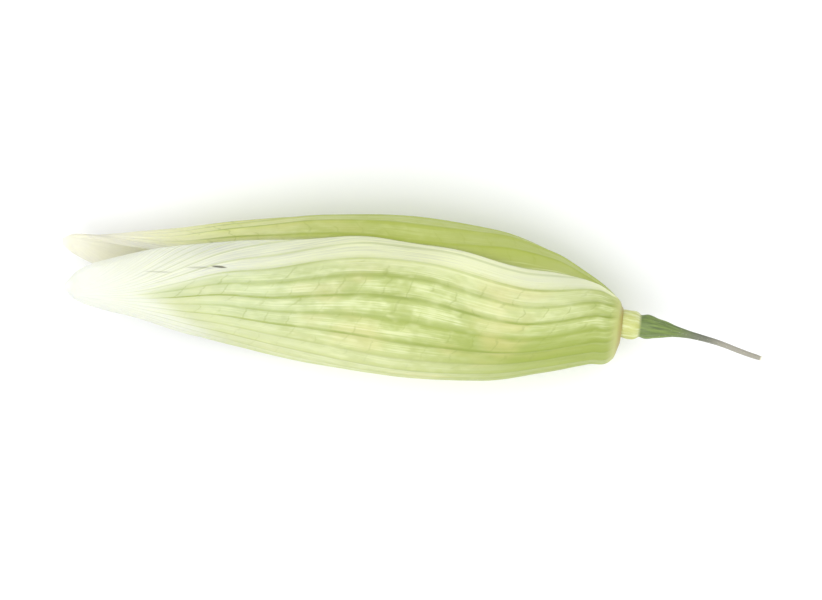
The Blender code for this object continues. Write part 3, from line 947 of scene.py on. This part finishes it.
def stalk_finish():
    """The stalk: a cream ring, a streaked green cone and a dusky violet thread."""
    finish = Finish("stalk_skin", 0.5, subsurface=0.12, glow=(0.8, 1, 0.4), reach=0.0003)
    between, along = finish.between, finish.mark("along")
    streaks = finish.noise("across", 24, 6, detail=4)
    thread = finish.blend(between(along, 0.56, 0.76), "thread_dark", "thread_violet")
    thread = finish.blend(between(streaks, 0.35, 0.65, 0, 0.4), thread, "thread_violet")
    cone = finish.blend(between(streaks, 0.3, 0.7), "stalk_green", "stalk_dark")
    skin = finish.layers(
        finish.blend(between(streaks, 0.4, 0.7), "ring_cream", "bright_band"),
        (between(along, 0.118, 0.145), finish.blend(between(along, 0.34, 0.58), cone, thread)),
        (between(along, 0.985, 1), "tip_straw"),
    )
    return finish.done(skin, streaks, 0.4, 0.00004)


def axis_finish():
    """The axis between the florets: pale green, with fine streaks."""
    finish = Finish("axis_skin", 0.5, subsurface=0.2, glow=(1, 1, 0.5), reach=0.0003)
    streaks = finish.noise("across", 10, 6)
    skin = finish.blend(finish.between(streaks, 0.3, 0.7), "lemma_green", "lemma_pale")
    return finish.done(skin, streaks, 0.3, 0.00003)


def hair_finish():
    """Short glassy hairs, whiter towards their tips."""
    finish = Finish("hair_skin", 0.4, subsurface=0.2, reach=0.0001)
    return finish.done(finish.blend(finish.mark("along"), "lemma_pale", "papery"))


def colour(name, description, *screen):
    """A colour that the user can change, given as on a screen."""
    return FloatVectorProperty(
        name=name, description=description, default=light(*screen), subtype="COLOR", min=0, max=1
    )


def measure(name, description, default):
    """A length that the user can change."""
    return FloatProperty(name=name, description=description, default=default, unit="LENGTH")


class SpikeletColours(bpy.types.PropertyGroup):
    """The colours of the spikelet and of the floor."""

    pale_band: colour("Pale band", "Light stripe between two veins", 193, 204, 130)
    bright_band: colour("Bright band", "Streaks between two veins", 223, 229, 173)
    edge_band: colour("Band edge", "Green beside the veins", 166, 179, 92)
    vein_green: colour("Vein green", "Lines along the veins", 146, 160, 70)
    # Painted shade: the green that darkens the lower side of the first glume's foot
    foot_shade_green: colour("Foot green", "Deeper green near the stalk", 156, 170, 72)
    # Painted shade: the darker tint over the lower glume
    far_shade_green: colour("Far green", "Tint of the lower glume", 177, 188, 74)
    papery: colour("Papery margin", "Thin see-through margins", 246, 248, 236)
    papery_shade: colour("Papery shade", "Fibres of the margins", 242, 244, 218)
    margin_green: colour("Green margin", "Margins near the foot", 244, 249, 176)
    tip_straw: colour("Straw tip", "Dry tip of the lower glume", 252, 248, 222)
    warm_tint: colour("Warm tint", "Ochre patches", 222, 210, 144)
    pale_end: colour("Pale end", "Bands of the first glume near its tip", 208, 216, 180)
    # Painted shade: the deepest tint on the lower glume's curled side and foot
    far_deep_shade: colour("Deep far green", "Back and foot of the lower glume", 160, 174, 50)
    # Painted highlight along the first glume's low edge
    rim_highlight: colour("Cream rim", "Low edge of the first glume", 218, 222, 168)
    # Paler, yellower end of the lower glume, lightened further as painted light
    far_lit_end: colour("Far end", "Bands of the lower glume near its tip", 236, 238, 168)
    seat_tan: colour("Tan seat", "Where the glumes meet the ring", 176, 160, 88)
    ring_cream: colour("Cream ring", "Ring between the glumes and the stalk", 194, 198, 118)
    stalk_green: colour("Stalk green", "Cone of the stalk", 130, 152, 74)
    stalk_dark: colour("Dark stalk", "Streaks of the cone", 88, 106, 60)
    thread_dark: colour("Dark thread", "Start of the stalk's thread", 98, 104, 84)
    thread_violet: colour("Violet thread", "Thin end of the stalk", 162, 157, 143)
    lemma_pale: colour("Pale lemma", "Smooth ground of the florets", 226, 232, 192)
    lemma_green: colour("Green lemma", "Green streaks of the florets", 190, 206, 130)
    dusky_tip: colour("Dusky tip", "Tips of the florets", 128, 122, 84)
    dark_fleck: colour("Dark fleck", "Flecks on the first glume's margin", 66, 60, 44)
    grain_milk: colour("Milky grain", "Young grain", 232, 234, 206)
    floor_white: colour("Floor", "The pale floor", 252, 252, 252)


class SpikeletSizes(bpy.types.PropertyGroup):
    """The sizes of the fine pieces and of the studio."""

    bristle_count: IntProperty(name="Bristles", description="Stiff hairs on the stalk", default=150, min=0)
    bristle_length: measure("Bristle length", "Length of a stalk hair", 0.00011)
    bristle_radius: measure("Bristle radius", "Radius of a stalk hair at its root", 0.000008)
    hair_count: IntProperty(name="Floret hairs", description="Hairs at a floret's foot", default=120, min=0)
    hair_length: measure("Floret hair length", "Length of a floret's hair", 0.0009)
    hair_radius: measure("Floret hair radius", "Radius of a floret's hair", 0.000009)
    camera_height: measure("Camera height", "Height of the camera above the floor", 0.34)
    camera_tilt: FloatProperty(
        name="Camera turn", description="Turn of the spikelet in the picture", default=math.radians(6.8),
        unit="ROTATION",
    )
    picture_width: measure("Picture width", "Width of the floor that the picture shows", 0.0365)
    floor_width: measure("Floor width", "Side of the floor", 1.2)


class SPIKELET_OT_glumes(bpy.types.Operator):
    """Make the two papery glumes"""

    bl_idname = "spikelet.glumes"
    bl_label = "Glumes"

    def execute(self, context):
        near = make_blade(FIRST_GLUME)
        near.data.materials.append(GlumeFinish("glume_skin", far=False).laid())
        far = make_blade(SECOND_GLUME)
        far.data.materials.append(GlumeFinish("far_glume_skin", far=True).laid())
        return {"FINISHED"}


class SPIKELET_OT_florets(bpy.types.Operator):
    """Make the lemma, palea, grain and hairs of both florets"""

    bl_idname = "spikelet.florets"
    bl_label = "Florets"

    def execute(self, context):
        sizes = context.scene.spikelet_sizes
        lemma_skin, palea_skin, grain_skin = lemma_finish(), palea_finish(), grain_finish()
        hair_skin = hair_finish()
        for lemma, grain, which in (
            (FIRST_LEMMA, FIRST_GRAIN, "first"),
            (SECOND_LEMMA, SECOND_GRAIN, "second"),
        ):
            make_blade(lemma).data.materials.append(lemma_skin)
            make_palea(which + "_palea", lemma).data.materials.append(palea_skin)
            make_grain(grain).data.materials.append(grain_skin)
            hairs = make_callus_hairs(
                which + "_floret_hairs", lemma, sizes.hair_count, sizes.hair_length, sizes.hair_radius
            )
            hairs.data.materials.append(hair_skin)
        return {"FINISHED"}


class SPIKELET_OT_stalk(bpy.types.Operator):
    """Make the stalk with its bristles, and the axis between the florets"""

    bl_idname = "spikelet.stalk"
    bl_label = "Stalk and axis"

    def execute(self, context):
        sizes = context.scene.spikelet_sizes
        make_stalk().data.materials.append(stalk_finish())
        make_rachilla().data.materials.append(axis_finish())
        hairs = make_stalk_bristles(sizes.bristle_count, sizes.bristle_length, sizes.bristle_radius)
        hairs.data.materials.append(hair_finish())
        return {"FINISHED"}


def add_area(name, place, aim, width, power):
    """A soft square light that looks at a point."""
    lamp = bpy.data.lights.new(name, "AREA")
    lamp.size = width
    lamp.energy = power
    obj = bpy.data.objects.new(name, lamp)
    obj.location = place
    obj.rotation_euler = (Vector(aim) - Vector(place)).to_track_quat("-Z", "Y").to_euler()
    bpy.context.scene.collection.objects.link(obj)


class SPIKELET_OT_studio(bpy.types.Operator):
    """Lay the floor and set up the soft light and the camera above"""

    bl_idname = "spikelet.studio"
    bl_label = "Studio"

    def execute(self, context):
        scene, sizes = context.scene, context.scene.spikelet_sizes
        low, high = (Vector(corner) for corner in CAD_BOX)
        middle = (low + high) / 2
        half = sizes.floor_width / 2
        mesh = bpy.data.meshes.new("floor")
        corners = [(-half, -half, 0), (half, -half, 0), (half, half, 0), (-half, half, 0)]
        mesh.from_pydata(corners, [], [(0, 1, 2, 3)])
        floor = bpy.data.objects.new("floor", mesh)
        mesh.materials.append(Finish("floor_white", 0.9).done("floor_white"))
        scene.collection.objects.link(floor)
        for name, place, width, power in LIGHTS:
            add_area(name, place, middle, width, power)
        world = bpy.data.worlds.new("soft_room")
        world.use_nodes = True
        backdrop = world.node_tree.nodes["Background"]
        backdrop.inputs["Color"].default_value = ROOM_TINT
        backdrop.inputs["Strength"].default_value = ROOM_STRENGTH
        scene.world = world
        scene.view_settings.view_transform = "Standard"
        lens = bpy.data.cameras.new("camera")
        camera = bpy.data.objects.new("camera", lens)
        camera.location = (middle.x, middle.y, sizes.camera_height)
        camera.rotation_euler = (0, 0, sizes.camera_tilt)
        lens.angle = 2 * math.atan(sizes.picture_width / 2 / (sizes.camera_height - middle.z))
        lens.clip_start = CAMERA_NEAREST
        scene.collection.objects.link(camera)
        scene.camera = camera
        return {"FINISHED"}


class SPIKELET_PT_pieces(bpy.types.Panel):
    """Lists the spikelet's pieces, sizes and colours"""

    bl_idname = "SPIKELET_PT_pieces"
    bl_label = "Oat spikelet"
    bl_space_type = "VIEW_3D"
    bl_region_type = "UI"
    bl_category = "Oat spikelet"

    def draw(self, context):
        for operator in OPERATORS:
            self.layout.operator(operator.bl_idname)
        for group in (context.scene.spikelet_sizes, context.scene.spikelet_colours):
            for name in group.__annotations__:
                self.layout.prop(group, name)


OPERATORS = (SPIKELET_OT_glumes, SPIKELET_OT_florets, SPIKELET_OT_stalk, SPIKELET_OT_studio)
CLASSES = (SpikeletColours, SpikeletSizes, *OPERATORS, SPIKELET_PT_pieces)


def register():
    for each in CLASSES:
        bpy.utils.register_class(each)
    bpy.types.Scene.spikelet_colours = PointerProperty(type=SpikeletColours)
    bpy.types.Scene.spikelet_sizes = PointerProperty(type=SpikeletSizes)


def unregister():
    del bpy.types.Scene.spikelet_sizes
    del bpy.types.Scene.spikelet_colours
    for each in reversed(CLASSES):
        bpy.utils.unregister_class(each)


def main():
    register()
    bpy.ops.spikelet.glumes()
    bpy.ops.spikelet.florets()
    bpy.ops.spikelet.stalk()
    bpy.ops.spikelet.studio()
    bpy.context.view_layer.update()


if __name__ == "__main__":
    main()
